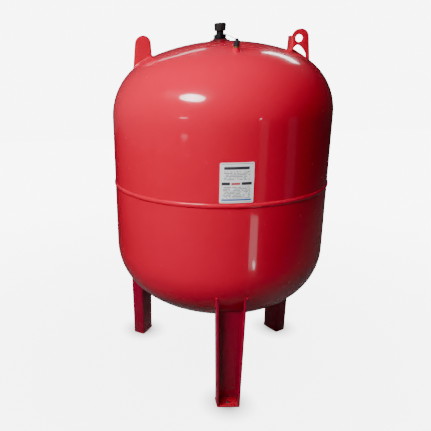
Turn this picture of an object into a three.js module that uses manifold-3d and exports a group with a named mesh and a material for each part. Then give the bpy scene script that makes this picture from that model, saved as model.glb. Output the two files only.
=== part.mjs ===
// Upright expansion vessel with a replaceable bladder. Two drawn steel shells are welded at the waist and
// stand on three channel legs. The water flange is bolted on below, and the bladder holder and the air
// charging valve are on top. Millimetres, +Z up. The origin is on the vessel's axis at floor level, and the
// front leg points towards -Y.

import * as THREE from "three";
import { mergeVertices } from "three/addons/utils/BufferGeometryUtils.js";
import Module from "manifold-3d";

const wasm = await Module();
wasm.setup();

// Clearance between touching pieces, and the number of facets round a full turn.
const gap = 0.3;
const vesselFacets = 48;
const fittingFacets = 32;
const bladderFacets = 36;
const smallFacets = 20;

// Shell: a straight drum closed by two alike torispherical ends.
const shellRadius = 300;
const shellWall = 2.5;
const straightHeight = 186;
const knuckleRadius = 170;
const crownRadius = 530;
const seamHeight = 583;

// Waist weld: a low bead over the joint, with its root between the two shells.
const weldRootHalf = 1.2;
const weldCapHalf = 6;
const weldCapHeight = 2.2;

// Legs: channels open to the outside, a little wider at the top, each welded on a foot plate.
const legWebRadius = 247;
const legDepth = 39;
const legHalfWidth = 31.5;
const legWidening = 0.0227;
const legSheet = 4;
const legBend = 7;
const legReach = 360;
const hemWidth = 9;
const hemThickness = 7;
const footThickness = 5;
const footHoleRadius = 6;
const legAzimuths = { front: -90, back_right: 30, back_left: 150 };

// Lifting lugs: channels open to the outside, with the hook hole and an arch in one cheek. The right lug
// keeps only a low flange of its other cheek.
const lugRadius = 207;
const lugHeight = 64;
const lugSpread = 43;
const lugSheet = 5;
const lugFootInner = 26;
const lugFootOuter = 32;
const lugShoulderInner = 20;
const lugShoulderOuter = 24;
const lugCrown = 22;
const lugWebDrop = 16;
const lugRoot = 40;
const lowFlange = 15;
const hookHoleRadius = 9.5;
const hookHoleDrop = 24;
const hookHoleOffset = -1;
const archOffset = 1;
const archHalfWidth = 18;
const archApex = -3.5;
const archHeight = 23;
const archRoot = 35;
const archFlare = 3;
const archOuterPull = 10;
const archInnerPull = 8;
const archInnerRise = 9;

// Top fitting, heights above the dome's crown.
const topHoleRadius = 16;
const stemRadius = 10.5;
const stemBore = 6.5;
const stemTop = 42;
const stemDiscRadius = 26;
const stemDiscThickness = 4;
const bossFlare = 25;
const bossTop = 4;
const topWasherRadius = 18.5;
const topWasherThickness = 2.6;
const topNutAcross = 31;
const topNutThickness = 8.4;
const topCapRadius = 16.2;
const topCapFloor = 25;
const topCapHeight = 20.5;
const topCapRoof = 3;
const topCapRibs = 12;
const topCapRibRadius = 1.2;
const threadGap = 0.4;
const capGap = 0.5;

// Charging valve, upright on a small welded boss beside the top fitting.
const valveRadius = 172;
const valveAzimuth = -85.5;
const valveBossRadius = 9;
const valveBossRise = 5.5;
const valveBossRoot = 14;
const valveStemRadius = 4;
const valveStemBore = 2.8;
const valveShankRadius = 5;
const valveHexAcross = 14;
const valveHexHeight = 4;
const valveStemHeight = 11;
const valveShankLength = 22;
const valveCapRadius = 7;
const valveCapHeight = 14;
const valveButtonNeck = 2.6;
const valveButtonRadius = 4.2;
const valvePinRadius = 0.8;
const poppetRadius = 2.1;
const poppetThickness = 1.4;
const poppetRise = 2.4;
const springSeatDrop = 6;
const springWire = 0.25;
const springTurns = 4;

// Lanyard from the neck of the top fitting to the valve's cap.
const lanyardRadius = 0.8;
const lanyardNeckClearance = 0.6;
const lanyardEyeClearance = 0.4;
const lanyardBow = 6;
const lanyardRise = 5;

// Bottom opening: welded ring, rubber lip, bolted flange plate and water socket.
const bottomHoleRadius = 60;
const ringRadius = 78;
const ringBore = 50.3;
const ringFace = 192;
const bladderWall = 3;
const bladderLip = 3.4;
const bladderLipRadius = 61;
const bladderBag = [[95, 240], [190, 292], [248, 400], [262, 583], [248, 765], [185, 882], [85, 938]];
const bladderBagFoot = 224;
const bladderCollarRadius = 32;
const flangeRadius = 80;
const flangeThickness = 8;
const flangeTop = 188;
const socketRadius = 21;
const socketBore = 15.3;
const socketEnd = 152;
const boltCount = 8;
const boltCircle = 69;
const boltRadius = 4;
const boltHeadAcross = 13;
const boltHeadHeight = 5.5;
const washerRadius = 8;
const washerThickness = 1.6;
const boltTip = 203;
const boltHoleGap = 0.6;
const flangeEdge = 1;

// Rating label, a thin sheet that follows the drum just above the waist weld.
const labelHalfAngle = 7.6;
const labelThickness = 0.5;
const labelHeight = 97;
const labelLift = 9;

const radians = THREE.MathUtils.degToRad;
const crownCentre = -Math.sqrt((crownRadius - knuckleRadius) ** 2 - (shellRadius - knuckleRadius) ** 2);
const crownHeight = seamHeight + straightHeight + crownRadius + crownCentre;
const lugGround = upperSurface(lugRadius);
const lugTop = lugGround + lugHeight;

const materials = {
  red: { color: 0xc01828, roughness: 0.25, metalness: 0.1 },
  black: { color: 0x141416, roughness: 0.5, metalness: 0 },
  zinc: { color: 0xb9bcc0, roughness: 0.35, metalness: 0.9 },
  brass: { color: 0xb8924a, roughness: 0.3, metalness: 0.9 },
  rubber: { color: 0x1c1c1e, roughness: 0.85, metalness: 0 },
  steel: { color: 0x8d9196, roughness: 0.4, metalness: 0.9 },
  paper: { color: 0xf2f2ee, roughness: 0.6, metalness: 0 },
};

const vessel = new THREE.Group();

function addPiece(name, geometry, look) {
  const mesh = new THREE.Mesh(geometry, new THREE.MeshStandardMaterial(materials[look]));
  mesh.name = name;
  vessel.add(mesh);
}

// Booleans

function solidOf(geometry) {
  const bare = geometry.index ? geometry.toNonIndexed() : geometry.clone();
  bare.deleteAttribute("normal");
  bare.deleteAttribute("uv");
  const merged = mergeVertices(bare, 1e-3);
  const corners = merged.index.array;
  const triVerts = [];
  for (let i = 0; i < corners.length; i += 3) {
    const [a, b, c] = corners.slice(i, i + 3);
    if (a !== b && b !== c && c !== a) triVerts.push(a, b, c);
  }
  const mesh = new wasm.Mesh({
    numProp: 3,
    vertProperties: merged.attributes.position.array,
    triVerts: new Uint32Array(triVerts),
  });
  return new wasm.Manifold(mesh);
}

function geometryOf(solid) {
  const mesh = solid.getMesh();
  const geometry = new THREE.BufferGeometry();
  geometry.setAttribute("position", new THREE.BufferAttribute(new Float32Array(mesh.vertProperties), 3));
  geometry.setIndex(new THREE.BufferAttribute(new Uint32Array(mesh.triVerts), 1));
  geometry.computeVertexNormals();
  return geometry;
}

function cut(geometry, ...tools) {
  return geometryOf(tools.reduce((left, tool) => left.subtract(solidOf(tool)), solidOf(geometry)));
}

function join(...geometries) {
  return geometryOf(geometries.map(solidOf).reduce((whole, next) => whole.add(next)));
}

// Basic shapes

// A turned piece: the outline is a list of [radius, height], closed on itself or ending on the axis.
function turned(outline, facets = fittingFacets) {
  const points = outline.map(([r, z]) => new THREE.Vector2(r, z));
  const onAxis = outline[0][0] === 0 && outline[outline.length - 1][0] === 0;
  if (!onAxis) points.push(points[0].clone());
  if (THREE.ShapeUtils.area(points) < 0) points.reverse();
  return new THREE.LatheGeometry(points, facets).rotateX(Math.PI / 2);
}

function tube(innerRadius, outerRadius, bottom, top, facets = fittingFacets) {
  const outline = [[innerRadius, bottom], [outerRadius, bottom], [outerRadius, top], [innerRadius, top]];
  return turned(outline, facets);
}

function rod(radius, bottom, top, facets = fittingFacets) {
  return new THREE.CylinderGeometry(radius, radius, top - bottom, facets)
    .rotateX(Math.PI / 2)
    .translate(0, 0, (top + bottom) / 2);
}

function hexPrism(acrossFlats, bottom, top) {
  return rod(acrossFlats / Math.sqrt(3), bottom, top, 6);
}

// Shells

// Points [radius, height] of a torispherical end from its rim to the edge of its hole. The height is counted
// from the end of the straight drum, and the surface lies inset inside the outer one.
function endCurve(inset, holeRadius) {
  const knuckleSteps = 8;
  const crownSteps = 5;
  const knuckleCentre = shellRadius - knuckleRadius;
  const knuckle = knuckleRadius - inset;
  const crown = crownRadius - inset;
  const meeting = Math.atan2(knuckleCentre, -crownCentre);
  const last = Math.asin(holeRadius / crown);
  const points = [];
  for (let i = 0; i <= knuckleSteps; i += 1) {
    const rise = ((Math.PI / 2 - meeting) * i) / knuckleSteps;
    points.push([knuckleCentre + knuckle * Math.cos(rise), knuckle * Math.sin(rise)]);
  }
  for (let i = 1; i <= crownSteps; i += 1) {
    const lean = meeting + ((last - meeting) * i) / crownSteps;
    points.push([crown * Math.sin(lean), crownCentre + crown * Math.cos(lean)]);
  }
  return points;
}

// Height of the upper end's outer surface over the floor at a distance from the axis.
function upperSurface(radius) {
  const knuckleCentre = shellRadius - knuckleRadius;
  const meetingRadius = (crownRadius * knuckleCentre) / (crownRadius - knuckleRadius);
  const rise = radius < meetingRadius
    ? crownCentre + Math.sqrt(crownRadius ** 2 - radius ** 2)
    : Math.sqrt(knuckleRadius ** 2 - (radius - knuckleCentre) ** 2);
  return seamHeight + straightHeight + rise;
}

function lowerSurface(radius) {
  return 2 * seamHeight - upperSurface(radius);
}

// One shell half, with the waist at height 0 and its end upwards.
function shellHalf(holeRadius) {
  const rim = weldRootHalf + gap;
  const outside = endCurve(0, holeRadius).map(([r, h]) => [r, h + straightHeight]);
  const inside = endCurve(shellWall, holeRadius).map(([r, h]) => [r, h + straightHeight]);
  const outline = [[shellRadius, rim], ...outside, ...inside.reverse(), [shellRadius - shellWall, rim]];
  return turned(outline, vesselFacets);
}

// The whole outer form as a solid, a gap larger all round, to trim what is welded onto it.
function outerForm() {
  const end = endCurve(-gap, 0).map(([r, h]) => [r, h + straightHeight]);
  end[end.length - 1][0] = 0;
  const mirrored = end.map(([r, h]) => [r, -h]).reverse();
  return turned([...mirrored, ...end], vesselFacets).translate(0, 0, seamHeight);
}

function girthWeld() {
  const bead = [];
  const beadSteps = 4;
  const under = shellRadius + gap;
  for (let i = 0; i <= beadSteps; i += 1) {
    const across = -1 + (2 * i) / beadSteps;
    bead.push([under + 0.4 + (weldCapHeight - 0.4) * (1 - across ** 2), across * weldCapHalf]);
  }
  const root = shellRadius - shellWall;
  const outline = [
    [root, -weldRootHalf],
    [under, -weldRootHalf],
    [under, -weldCapHalf],
    ...bead,
    [under, weldCapHalf],
    [under, weldRootHalf],
    [root, weldRootHalf],
  ];
  return turned(outline, vesselFacets).translate(0, 0, seamHeight);
}

// Legs

// Cross-section of a leg at floor level: x runs outwards from the vessel's axis, y across the leg.
function legSection() {
  const web = legWebRadius;
  const tip = legWebRadius + legDepth;
  const half = legHalfWidth;
  const inner = legBend - legSheet;
  const shape = new THREE.Shape();
  shape.moveTo(tip, -half);
  shape.lineTo(tip, -half + hemThickness);
  shape.lineTo(tip - hemWidth, -half + hemThickness);
  shape.lineTo(tip - hemWidth, -half + legSheet);
  shape.lineTo(web + legBend, -half + legSheet);
  shape.absarc(web + legBend, -half + legBend, inner, -Math.PI / 2, -Math.PI, true);
  shape.lineTo(web + legSheet, half - legBend);
  shape.absarc(web + legBend, half - legBend, inner, Math.PI, Math.PI / 2, true);
  shape.lineTo(tip - hemWidth, half - legSheet);
  shape.lineTo(tip - hemWidth, half - hemThickness);
  shape.lineTo(tip, half - hemThickness);
  shape.lineTo(tip, half);
  shape.lineTo(web + legBend, half);
  shape.absarc(web + legBend, half - legBend, legBend, Math.PI / 2, Math.PI, false);
  shape.lineTo(web, -half + legBend);
  shape.absarc(web + legBend, -half + legBend, legBend, Math.PI, 1.5 * Math.PI, false);
  return shape;
}

// A leg along +X: its sides lean apart upwards, and its top is trimmed to the lower end.
function leg() {
  const settings = { depth: legReach, bevelEnabled: false, curveSegments: 3 };
  const geometry = new THREE.ExtrudeGeometry(legSection(), settings);
  const position = geometry.getAttribute("position");
  for (let i = 0; i < position.count; i += 1) {
    const y = position.getY(i);
    position.setY(i, y + Math.sign(y) * legWidening * position.getZ(i));
  }
  geometry.translate(0, 0, footThickness + gap);
  return geometry;
}

function footPlate() {
  const corner = 4;
  const inner = legWebRadius;
  const outer = legWebRadius + legDepth;
  const half = legHalfWidth;
  const shape = new THREE.Shape();
  shape.moveTo(inner + corner, -half);
  shape.lineTo(outer - corner, -half);
  shape.absarc(outer - corner, -half + corner, corner, -Math.PI / 2, 0, false);
  shape.lineTo(outer, half - corner);
  shape.absarc(outer - corner, half - corner, corner, 0, Math.PI / 2, false);
  shape.lineTo(inner + corner, half);
  shape.absarc(inner + corner, half - corner, corner, Math.PI / 2, Math.PI, false);
  shape.lineTo(inner, -half + corner);
  shape.absarc(inner + corner, -half + corner, corner, Math.PI, 1.5 * Math.PI, false);
  const hole = new THREE.Path();
  hole.absarc((inner + outer) / 2 + 2, 0, footHoleRadius, 0, 2 * Math.PI, true);
  shape.holes.push(hole);
  return new THREE.ExtrudeGeometry(shape, { depth: footThickness, bevelEnabled: false, curveSegments: 4 });
}

function addLegs() {
  const form = outerForm();
  const trimmedLegs = leg();
  for (const [place, azimuth] of Object.entries(legAzimuths)) {
    const turn = radians(azimuth);
    addPiece(`leg_${place}`, cut(trimmedLegs.clone().rotateZ(turn), form), "red");
    addPiece(`foot_${place}`, footPlate().rotateZ(turn), "red");
  }
}

// Lifting lugs

// Side outline of a lug, x outwards from the vessel's axis and y up. It starts well inside the end, which
// trims it.
function lugOutline() {
  const base = lugGround - lugRoot;
  const shoulder = lugTop - lugCrown;
  const middle = (lugShoulderOuter - lugShoulderInner) / 2;
  const half = (lugShoulderOuter + lugShoulderInner) / 2;
  const shape = new THREE.Shape();
  shape.moveTo(lugRadius - lugFootInner, base);
  shape.lineTo(lugRadius + lugFootOuter, base);
  shape.lineTo(lugRadius + lugShoulderOuter, shoulder);
  shape.absellipse(lugRadius + middle, shoulder, half, lugCrown, 0, Math.PI, false);
  return shape;
}

// Side outline of the space between the cheeks: the web's thickness inside the inner edge, and open outwards
// and upwards.
function channelOutline() {
  const outside = lugRadius + lugFootOuter + 10;
  const shape = new THREE.Shape();
  shape.moveTo(lugRadius - lugFootInner + lugSheet, lugGround - lugRoot);
  shape.lineTo(outside, lugGround - lugRoot);
  shape.lineTo(outside, lugTop + 5);
  shape.lineTo(lugRadius - lugShoulderInner + lugSheet, lugTop + 5);
  shape.lineTo(lugRadius - lugShoulderInner + lugSheet, lugTop - lugCrown);
  return shape;
}

// Outline of the arch cut out of one cheek's foot.
function archOutline() {
  const middle = lugRadius + archOffset;
  const outer = middle + archHalfWidth;
  const inner = middle - archHalfWidth;
  const top = lugGround + archHeight;
  const apex = lugRadius + archApex;
  const shape = new THREE.Shape();
  shape.moveTo(inner - archFlare, lugGround - archRoot);
  shape.lineTo(outer + archFlare, lugGround - archRoot);
  shape.lineTo(outer, lugGround);
  shape.quadraticCurveTo(apex + archOuterPull, top, apex, top);
  shape.quadraticCurveTo(apex - archInnerPull, top, inner, lugGround + archInnerRise);
  return shape;
}

// Outline of what is cut off the other cheek where only its low flange stays.
function openSideOutline() {
  const inner = lugRadius - lugShoulderInner + lugSheet;
  const outside = lugRadius + lugFootOuter + 10;
  const edge = lugRadius - lugFootInner;
  const shape = new THREE.Shape();
  shape.moveTo(inner, upperSurface(inner) + lowFlange);
  shape.lineTo(outside, upperSurface(outside) + lowFlange);
  shape.lineTo(outside, lugTop + 5);
  shape.lineTo(edge, lugTop + 5);
  shape.lineTo(edge, lugTop - lugWebDrop);
  shape.lineTo(inner, lugTop - lugWebDrop);
  return shape;
}

// Extrudes a shape of the x-z plane along y, centred on y = middle.
function acrossY(shape, width, middle = 0) {
  return new THREE.ExtrudeGeometry(shape, { depth: width, bevelEnabled: false, curveSegments: 12 })
    .rotateX(Math.PI / 2)
    .translate(0, middle + width / 2, 0);
}

function lug() {
  const between = lugSpread - 2 * lugSheet;
  const cheek = -lugSpread / 2 + lugSheet / 2;
  const aboveWeb = lugWebDrop + lugSheet;
  const body = acrossY(lugOutline(), lugSpread);
  const channel = acrossY(channelOutline(), between);
  const webTop = new THREE.BoxGeometry(3 * lugHeight, between, aboveWeb)
    .translate(lugRadius, 0, lugTop - lugWebDrop + aboveWeb / 2);
  const hookHole = rod(hookHoleRadius, -lugSheet, lugSheet, 24)
    .rotateX(Math.PI / 2)
    .translate(lugRadius + hookHoleOffset, cheek, lugTop - hookHoleDrop);
  const arch = acrossY(archOutline(), 2 * lugSheet, cheek);
  return cut(body, channel, webTop, hookHole, arch);
}

function addLugs() {
  const form = outerForm();
  const untrimmed = lug();
  const openSide = acrossY(openSideOutline(), 2 * lugSheet, lugSpread / 2);
  addPiece("lifting_lug_right", cut(untrimmed, form, openSide), "red");
  addPiece("lifting_lug_left", cut(untrimmed.clone().rotateZ(Math.PI), form), "red");
}

// Top fitting

function topBoss() {
  const seat = crownHeight - shellWall;
  const neck = topHoleRadius - gap;
  return turned([
    [stemRadius + threadGap, seat],
    [neck, seat],
    [neck, upperSurface(neck) + gap],
    [bossFlare, upperSurface(bossFlare) + gap],
    [bossFlare - 0.6, crownHeight + 1],
    [bossFlare - 4, crownHeight + 2.4],
    [bossFlare - 5.2, crownHeight + bossTop - 0.5],
    [bossFlare - 5.8, crownHeight + bossTop],
    [stemRadius + threadGap, crownHeight + bossTop],
  ]);
}

function bladderHolder() {
  const discTop = crownHeight - shellWall - bladderWall - 1.5;
  return turned([
    [stemBore, discTop - stemDiscThickness],
    [stemDiscRadius, discTop - stemDiscThickness],
    [stemDiscRadius, discTop],
    [stemRadius, discTop],
    [stemRadius, crownHeight + stemTop - 1],
    [stemRadius - 1, crownHeight + stemTop],
    [stemBore, crownHeight + stemTop],
  ]);
}

function topNut(bottom) {
  const top = bottom + topNutThickness;
  return cut(hexPrism(topNutAcross, bottom, top), rod(stemRadius + threadGap, bottom - 1, top + 1));
}

// The protective cap is a cup with grip ribs round it.
function topCap() {
  const floor = crownHeight + topCapFloor;
  const roof = floor + topCapHeight;
  const cup = turned([
    [stemRadius + capGap, floor],
    [topCapRadius - 0.8, floor],
    [topCapRadius - 0.8, roof - 4],
    [topCapRadius - 2.2, roof - 1.2],
    [topCapRadius - 5, roof],
    [0, roof],
    [0, roof - topCapRoof],
    [stemRadius + capGap, roof - topCapRoof],
  ]);
  const out = topCapRadius - topCapRibRadius;
  const ribs = [];
  for (let i = 0; i < topCapRibs; i += 1) {
    const turn = (2 * Math.PI * i) / topCapRibs;
    const rib = rod(topCapRibRadius, floor + 1, roof - 4.5, 8);
    ribs.push(rib.translate(out * Math.cos(turn), out * Math.sin(turn), 0));
  }
  return join(cup, ...ribs);
}

function addTopFitting() {
  const washerBottom = crownHeight + bossTop + gap;
  addPiece("top_boss", topBoss(), "red");
  addPiece("bladder_holder", bladderHolder(), "zinc");
  const washerTop = washerBottom + topWasherThickness;
  const washer = tube(stemRadius + threadGap, topWasherRadius, washerBottom, washerTop);
  addPiece("top_washer", washer, "zinc");
  addPiece("top_nut", topNut(washerTop + gap), "zinc");
  addPiece("top_cap", topCap(), "black");
}

// Charging valve

const valvePlace = {
  x: valveRadius * Math.cos(radians(valveAzimuth)),
  y: valveRadius * Math.sin(radians(valveAzimuth)),
};
const valveSeat = upperSurface(valveRadius) + valveBossRise;

function placedAtValve(geometry) {
  return geometry.translate(valvePlace.x, valvePlace.y, valveSeat);
}

function addValve() {
  const hexBottom = gap;
  const hexTop = hexBottom + valveHexHeight;
  const stemEnd = hexTop + valveStemHeight;
  const springSeat = hexTop - springSeatDrop;
  const poppetTop = hexTop + poppetRise;
  const boss = tube(valveShankRadius + gap, valveBossRadius, -valveBossRoot, 0, smallFacets);
  addPiece("valve_boss", cut(placedAtValve(boss), outerForm()), "red");
  addPiece("valve_body", placedAtValve(valveBody(hexBottom, hexTop, stemEnd, springSeat)), "brass");
  const sleeve = tube(valvePinRadius + gap, valveStemBore - gap, poppetTop + gap, stemEnd - 1.5, smallFacets);
  addPiece("valve_core", placedAtValve(sleeve), "brass");
  addPiece("valve_pin", placedAtValve(valvePin(springSeat - 4, poppetTop, stemEnd - 0.4)), "brass");
  const spring = valveSpring(springSeat + gap, poppetTop - poppetThickness - gap);
  addPiece("valve_spring", placedAtValve(spring), "steel");
  addPiece("valve_cap", placedAtValve(valveCap(hexTop + gap, stemEnd + 0.6)), "black");
}

// The valve's body: hexagon, stem and shank, with a wide bore above the spring's seat and a narrow one below.
function valveBody(hexBottom, hexTop, stemEnd, springSeat) {
  const outside = join(
    hexPrism(valveHexAcross, hexBottom, hexTop),
    rod(valveStemRadius, hexTop - 0.5, stemEnd, smallFacets),
    rod(valveShankRadius, -valveShankLength, hexBottom + 0.5, smallFacets),
  );
  const bore = join(
    rod(valveStemBore, springSeat, stemEnd + 1, smallFacets),
    rod(valvePinRadius + 0.6, -valveShankLength - 1, springSeat + 0.5, smallFacets),
  );
  return cut(outside, bore);
}

// The valve's needle, with the poppet that the spring presses up.
function valvePin(foot, poppetTop, head) {
  return turned([
    [0, foot],
    [valvePinRadius, foot],
    [valvePinRadius, poppetTop - poppetThickness],
    [poppetRadius, poppetTop - poppetThickness],
    [poppetRadius, poppetTop],
    [valvePinRadius, poppetTop],
    [valvePinRadius, head],
    [0, head],
  ], smallFacets);
}

// A coil spring between two heights round the valve's pin.
function valveSpring(bottom, top) {
  const coil = (valvePinRadius + valveStemBore) / 2;
  const perTurn = 8;
  const count = springTurns * perTurn;
  const stations = [];
  for (let i = 0; i <= count; i += 1) {
    const angle = (2 * Math.PI * i) / perTurn;
    const height = bottom + springWire + ((top - bottom - 2 * springWire) * i) / count;
    stations.push(new THREE.Vector3(coil * Math.cos(angle), coil * Math.sin(angle), height));
  }
  return roundWire(stations, springWire, springTurns * 9, 6);
}

// A round wire along a smooth curve through the stations.
function roundWire(stations, radius, steps, sides) {
  const section = new THREE.Shape();
  for (let i = 0; i < sides; i += 1) {
    const angle = (2 * Math.PI * i) / sides;
    const point = [radius * Math.cos(angle), radius * Math.sin(angle)];
    if (i === 0) section.moveTo(...point);
    else section.lineTo(...point);
  }
  const extrudePath = new THREE.CatmullRomCurve3(stations, false, "centripetal");
  return new THREE.ExtrudeGeometry(section, { steps, extrudePath, bevelEnabled: false });
}

// The valve's cap: a cup with a button on its roof for the lanyard's eye.
function valveCap(bottom, ceiling) {
  const roof = bottom + valveCapHeight;
  const inside = valveStemRadius + capGap;
  return turned([
    [0, ceiling],
    [inside, ceiling],
    [inside, bottom],
    [valveCapRadius, bottom],
    [valveCapRadius, roof - 1],
    [valveCapRadius - 1, roof],
    [valveButtonNeck, roof],
    [valveButtonNeck, roof + 2.4],
    [valveButtonRadius, roof + 2.4],
    [valveButtonRadius, roof + 3.6],
    [valveButtonRadius - 0.8, roof + 4.2],
    [0, roof + 4.2],
  ], smallFacets);
}

// Lanyard: nearly once round the neck above the nut, across the dome, and an eye round the button on the
// valve's cap.
function lanyardStations() {
  const belowNeck = bossTop + topWasherThickness + topNutThickness + 5 * gap;
  const neckHeight = crownHeight + belowNeck + lanyardRadius;
  const eyeHeight = valveSeat + valveHexHeight + valveCapHeight + 2 * gap + 1.2;
  const loop = stemRadius + lanyardRadius + lanyardNeckClearance;
  const eye = valveButtonNeck + lanyardRadius + lanyardEyeClearance;
  const stations = [];
  for (let turn = -355; turn <= -55; turn += 30) {
    const reach = loop + (turn > -100 ? lanyardEyeClearance : 0);
    const angle = radians(turn);
    stations.push(new THREE.Vector3(reach * Math.cos(angle), reach * Math.sin(angle), neckHeight));
  }
  const start = stations[stations.length - 1];
  const eyeStart = new THREE.Vector3(valvePlace.x, valvePlace.y + 9, eyeHeight);
  for (const share of [0.2, 0.4, 0.6, 0.8]) {
    const swell = share * (1 - share);
    const point = start.clone().lerp(eyeStart, share);
    stations.push(point.add(new THREE.Vector3(lanyardBow * swell, 0, lanyardRise * swell)));
  }
  for (let turn = 70; turn >= -220; turn -= 36.25) {
    const x = valvePlace.x + eye * Math.cos(radians(turn));
    const y = valvePlace.y + eye * Math.sin(radians(turn));
    stations.push(new THREE.Vector3(x, y, eyeHeight));
  }
  return stations;
}

// Bottom opening

function neckRing() {
  const neck = bottomHoleRadius - gap;
  const ring = turned([
    [ringBore, ringFace],
    [ringRadius, ringFace],
    [ringRadius, lowerSurface(ringRadius) - gap],
    [neck, lowerSurface(neck) - gap],
    [neck, lowerSurface(neck) + shellWall],
    [ringBore, lowerSurface(neck) + shellWall],
  ]);
  return cut(ring, ...boltRods(boltRadius + gap, ringFace - 5, boltTip + 1));
}

function boltPlaces() {
  return Array.from({ length: boltCount }, (_, i) => {
    const turn = radians(22.5 + (360 * i) / boltCount);
    return [boltCircle * Math.cos(turn), boltCircle * Math.sin(turn)];
  });
}

// A rod at each bolt's place.
function boltRods(radius, bottom, top) {
  return boltPlaces().map(([x, y]) => rod(radius, bottom, top, 12).translate(x, y, 0));
}

function flangePlate() {
  const bottom = flangeTop - flangeThickness;
  const plate = turned([
    [socketRadius + gap, bottom],
    [flangeRadius - flangeEdge, bottom],
    [flangeRadius, bottom + flangeEdge],
    [flangeRadius, flangeTop - flangeEdge],
    [flangeRadius - flangeEdge, flangeTop],
    [socketRadius + gap, flangeTop],
  ]);
  return cut(plate, ...boltRods(boltRadius + boltHoleGap, bottom - 5, flangeTop + 5));
}

function addBolts() {
  const washerTop = flangeTop - flangeThickness - gap;
  const headTop = washerTop - washerThickness - gap;
  boltPlaces().forEach(([x, y], i) => {
    const head = hexPrism(boltHeadAcross, headTop - boltHeadHeight, headTop);
    const bolt = join(head, rod(boltRadius, headTop - 1, boltTip, 12));
    const washer = tube(boltRadius + threadGap, washerRadius, washerTop - washerThickness, washerTop, 16);
    addPiece(`flange_bolt_${i + 1}`, bolt.translate(x, y, 0), "zinc");
    addPiece(`flange_washer_${i + 1}`, washer.translate(x, y, 0), "zinc");
  });
}

// The rubber bladder, part filled: a bag with a clamped lip below and a clamped collar on top. Its outline
// follows the middle of the rubber, which is then given its thickness.
function bladder() {
  const collar = crownHeight - shellWall - 1.3 - bladderWall / 2;
  const neck = ringBore - 0.7 - bladderWall / 2;
  const knots = [[neck + 2, bladderBagFoot], ...bladderBag, [bladderCollarRadius, collar]];
  const bag = new THREE.SplineCurve(knots.map(([r, z]) => new THREE.Vector2(r, z))).getSpacedPoints(18);
  const lipPoint = new THREE.Vector2(neck, flangeTop + gap + 1);
  const neckPoint = new THREE.Vector2(neck, lowerSurface(bottomHoleRadius) + shellWall + 2);
  const collarPoint = new THREE.Vector2(stemRadius + 0.5, collar);
  const middle = [lipPoint, neckPoint, ...bag, collarPoint];
  const side = (sign) => middle.map((p, i) => {
    const before = middle[Math.max(i - 1, 0)];
    const after = middle[Math.min(i + 1, middle.length - 1)];
    const along = after.clone().sub(before).normalize();
    return [p.x + (sign * along.y * bladderWall) / 2, p.y - (sign * along.x * bladderWall) / 2];
  });
  const outside = side(1);
  const inside = side(-1);
  const bottom = flangeTop + gap;
  outside[0] = [neck + bladderWall / 2, bottom + bladderLip];
  outside[1] = [neck + bladderWall / 2, neckPoint.y];
  inside[0] = [neck - bladderWall / 2, bottom];
  const lip = [[bladderLipRadius, bottom], [bladderLipRadius, bottom + bladderLip]];
  return turned([...lip, ...outside, ...inside.reverse()], bladderFacets);
}

function ratingLabel() {
  const inner = shellRadius + gap;
  const outer = inner + labelThickness;
  const start = radians(-90 - labelHalfAngle);
  const end = radians(-90 + labelHalfAngle);
  const shape = new THREE.Shape();
  shape.absarc(0, 0, outer, start, end, false);
  shape.absarc(0, 0, inner, end, start, true);
  return new THREE.ExtrudeGeometry(shape, { depth: labelHeight, bevelEnabled: false, curveSegments: 6 })
    .translate(0, 0, seamHeight + labelLift);
}

// Assembly

const upper = shellHalf(topHoleRadius).translate(0, 0, seamHeight);
const valveHole = placedAtValve(rod(valveShankRadius + gap, -40, 10, smallFacets));
addPiece("upper_shell", cut(upper, valveHole), "red");
addPiece("lower_shell", shellHalf(bottomHoleRadius).rotateX(Math.PI).translate(0, 0, seamHeight), "red");
addPiece("girth_weld", girthWeld(), "red");
addLegs();
addLugs();
addTopFitting();
addValve();
addPiece("cap_lanyard", roundWire(lanyardStations(), lanyardRadius, 84, 8), "black");
addPiece("neck_ring", neckRing(), "red");
addPiece("bladder", bladder(), "rubber");
addPiece("flange_plate", flangePlate(), "zinc");
addPiece("water_socket", tube(socketBore, socketRadius, socketEnd, flangeTop), "zinc");
addBolts();
addPiece("rating_label", ratingLabel(), "paper");

export default vessel;
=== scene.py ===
import math

import bmesh
import bpy
from mathutils import Matrix, Vector, noise


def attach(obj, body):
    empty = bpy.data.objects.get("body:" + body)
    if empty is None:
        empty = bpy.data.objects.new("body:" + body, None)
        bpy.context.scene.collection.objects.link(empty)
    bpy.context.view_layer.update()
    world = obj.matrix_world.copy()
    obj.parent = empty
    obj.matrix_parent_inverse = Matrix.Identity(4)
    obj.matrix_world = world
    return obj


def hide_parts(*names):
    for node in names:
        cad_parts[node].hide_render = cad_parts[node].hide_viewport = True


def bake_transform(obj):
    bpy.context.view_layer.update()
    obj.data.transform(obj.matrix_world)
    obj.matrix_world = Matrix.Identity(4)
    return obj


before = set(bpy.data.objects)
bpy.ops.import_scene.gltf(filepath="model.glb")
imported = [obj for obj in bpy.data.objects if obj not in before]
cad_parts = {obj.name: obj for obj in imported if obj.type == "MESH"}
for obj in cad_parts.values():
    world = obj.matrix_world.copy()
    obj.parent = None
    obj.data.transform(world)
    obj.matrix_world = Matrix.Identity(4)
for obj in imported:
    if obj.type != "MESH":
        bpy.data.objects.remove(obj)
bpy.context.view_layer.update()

# Expansion vessel. The building functions work in millimetres, with the vessel's axis on Z and the floor at
# 0, and piece() turns a finished mesh into metres.
MM = 0.001
TAU = 2 * math.pi

# Shell
SHELL_R = 300.0
SHELL_WALL = 2.5
STRAIGHT = 186.0
KNUCKLE = 170.0
CROWN = 530.0
SEAM_Z = 583.0
SEAM_GAP = 1.5
TOP_HOLE = 16.0
BOTTOM_HOLE = 60.0
SHELL_SEGMENTS = 288

# Waist weld
WELD_HALF = 6.0
WELD_HEIGHT = 2.2
WELD_ROOT = 1.2

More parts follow.
